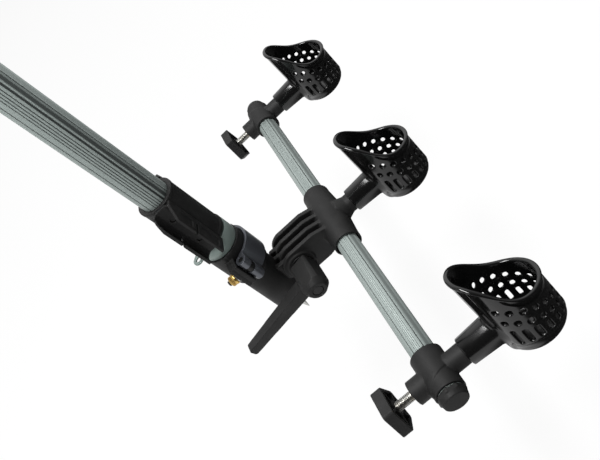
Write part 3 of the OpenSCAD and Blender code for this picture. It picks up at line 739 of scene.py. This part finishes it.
def cup_place(x, roll):
    """A cup's own frame to the part's: turned on its stem by roll, and set out from the crossbar."""
    c, s = np.cos(np.radians(roll)), np.sin(np.radians(roll))
    turn = np.array([[c, 0, -s], [0, 1, 0], [s, 0, c]])
    at = np.array([x, BAR_Y + CUP_REACH, BAR_Z]) * MM
    return lambda points: points @ turn.T + at


for cup, (x, roll) in CUP_ROLLS.items():
    cup_shape.piece(cup, cup_place(x, roll))


# CAD solids with moulded or broken edges: voxel size in mm and how many smoothing passes
SOFTENED = {
    "arm": (0.66, 5), "bracket": (0.68, 4), "near_tee": (0.42, 6), "far_tee": (0.42, 6), "handle": (0.40, 4),
    "near_knob": (0.38, 4), "far_knob": (0.38, 4), "clip_collar": (0.55, 3), "front_clip": (0.38, 3),
    "rear_clip": (0.38, 3), "bar_end_caps": (0.42, 6), "cam_lever": (0.32, 5), "leg_knuckle": (0.65, 5),
    "eyelet_tab": (0.28, 3), "leg_spike": (0.35, 2), "pivot_bolt": (0.38, 3), "pivot_washers": (0.35, 2),
    "foot_plug": (0.6, 3),
}
SMALL_SOFTENING = (0.24, 2)
WELD_MM = 0.002
# Pieces that lie inside others keep their plain solids
INSIDE = {
    "ferrule_bush", "sleeve_liner", "handle_insert", "foot_pin", "near_brake_pad", "far_brake_pad",
    "bar_grub_screws",
}
for name, obj in nodes.items():
    if obj.hide_render:
        continue
    obj.data.materials.clear()
    obj.data.materials.append(finishes[slot_of[name]])
    if name in INSIDE:
        continue
    voxel, passes = SOFTENED.get(name, SMALL_SOFTENING)
    weld = obj.modifiers.new("join", "WELD")
    weld.merge_threshold = WELD_MM * MM
    skin = obj.modifiers.new("skin", "REMESH")
    skin.mode = "VOXEL"
    skin.voxel_size = voxel * MM
    skin.use_smooth_shade = True
    soft = obj.modifiers.new("edges", "SMOOTH")
    soft.factor = 0.5
    soft.iterations = passes


# Floor, light and camera
FLOOR_HALF = 9.0
FLOOR_GAP = 0.125  # clears the cups when the arm folds down
floor_z = cad_low[2] - FLOOR_GAP


def pale_ground(name):
    """Plain pale to light, and white with a slight shadow to the camera. In reflections it glows with a painted
    reflection: white on the leg's side and dark past the cups, as if between a white sweep and a black flag."""
    material = bpy.data.materials.new(name)
    material.use_nodes = True
    tree = material.node_tree
    tree.nodes.clear()
    start = Value(tree, None)
    camera_ray = start.make("ShaderNodeLightPath", "Is Camera Ray", {}, {})
    rays = camera_ray.socket.node.outputs
    glossy_ray = Value(tree, rays["Is Glossy Ray"])
    mirrored = start.math("MAXIMUM", glossy_ray, Value(tree, rays["Is Transmission Ray"]))
    seen = start.math("MAXIMUM", 0.88 * camera_ray, mirrored)
    place = start.make("ShaderNodeTexCoord", "Object", {}, {})
    dark_reflection_past_cups = start.make("ShaderNodeSeparateXYZ", "Y", {}, {0: place}).ramp(0.02, 0.11)
    # painted reflection: to glossy and transmission rays the floor glows white, and near black past the cups
    glow_colour = (mirrored * dark_reflection_past_cups).blend(grey(1.0), grey(0.05))
    matt = start.make("ShaderNodeBsdfDiffuse", 0, {}, {"Color": grey(0.86)})
    glow = start.make("ShaderNodeEmission", 0, {}, {"Color": glow_colour, "Strength": 1.0})
    both = start.make("ShaderNodeMixShader", 0, {}, {0: seen, 1: matt, 2: glow})
    out = tree.nodes.new("ShaderNodeOutputMaterial")
    tree.links.new(both.socket, out.inputs["Surface"])
    return material


floor_mesh = bpy.data.meshes.new("floor")
corners = np.array([(-1, -1, 0), (1, -1, 0), (1, 1, 0), (-1, 1, 0)]) * FLOOR_HALF
floor_mesh.from_pydata((corners + [0, 0, floor_z]).tolist(), [], [(0, 1, 2, 3)])
floor_mesh.materials.append(pale_ground("pale_ground"))
floor = bpy.data.objects.new("floor", floor_mesh)
bpy.context.collection.objects.link(floor)


def area_light(name, at, size, power, target=(0.0, 0.06, -0.3)):
    data = bpy.data.lights.new(name, "AREA")
    data.shape = "RECTANGLE"
    data.size, data.size_y = size
    data.energy = power
    light = bpy.data.objects.new(name, data)
    light.location = at
    light.rotation_euler = (Vector(target) - Vector(at)).to_track_quat("-Z", "Y").to_euler()
    bpy.context.collection.objects.link(light)


area_light("overhead_box", (0.06, -0.02, 1.15), (0.95, 0.32), 24.0, (0.06, -0.02, -0.3))
area_light("side_wall", (-1.3, 0.5, 0.5), (2.2, 1.6), 5.0)
area_light("front_fill", (0.5, -1.5, 0.7), (1.6, 0.8), 5.0)

world = bpy.data.worlds.new("studio")
bpy.context.scene.world = world
world.use_nodes = True
sky = world.node_tree.nodes["Background"]
camera_ray = Value(world.node_tree, None).make("ShaderNodeLightPath", "Is Camera Ray", {}, {})
glossy_ray = Value(world.node_tree, camera_ray.socket.node.outputs["Is Glossy Ray"])
around = camera_ray.make("ShaderNodeTexCoord", "Generated", {}, {})
across = camera_ray.make("ShaderNodeSeparateXYZ", 0, {}, {0: around})
mirrored = across.ramp(-0.75, 0.35).blend(grey(0.65), grey(0.04))
shade = glossy_ray.blend(grey(0.42), mirrored)
world.node_tree.links.new(camera_ray.blend(shade, grey(1.0)).socket, sky.inputs["Color"])
sky.inputs["Strength"].default_value = 1.0

# The photo's camera, solved from the edges of the bar, the stems and the leg
CAMERA_AT = (0.46985, 0.16176, 0.09254)
CAMERA_TURN = (35.5105, 35.5130, 63.8185)
CAMERA_LENS = 42.877
camera_data = bpy.data.cameras.new("camera")
camera_data.sensor_width = 36.0
camera_data.lens = CAMERA_LENS
camera_data.clip_end = 50.0
camera = bpy.data.objects.new("camera", camera_data)
camera.location = CAMERA_AT
camera.rotation_euler = [math.radians(a) for a in CAMERA_TURN]
bpy.context.collection.objects.link(camera)
bpy.context.scene.camera = camera
bpy.context.scene.view_settings.view_transform = "Standard"
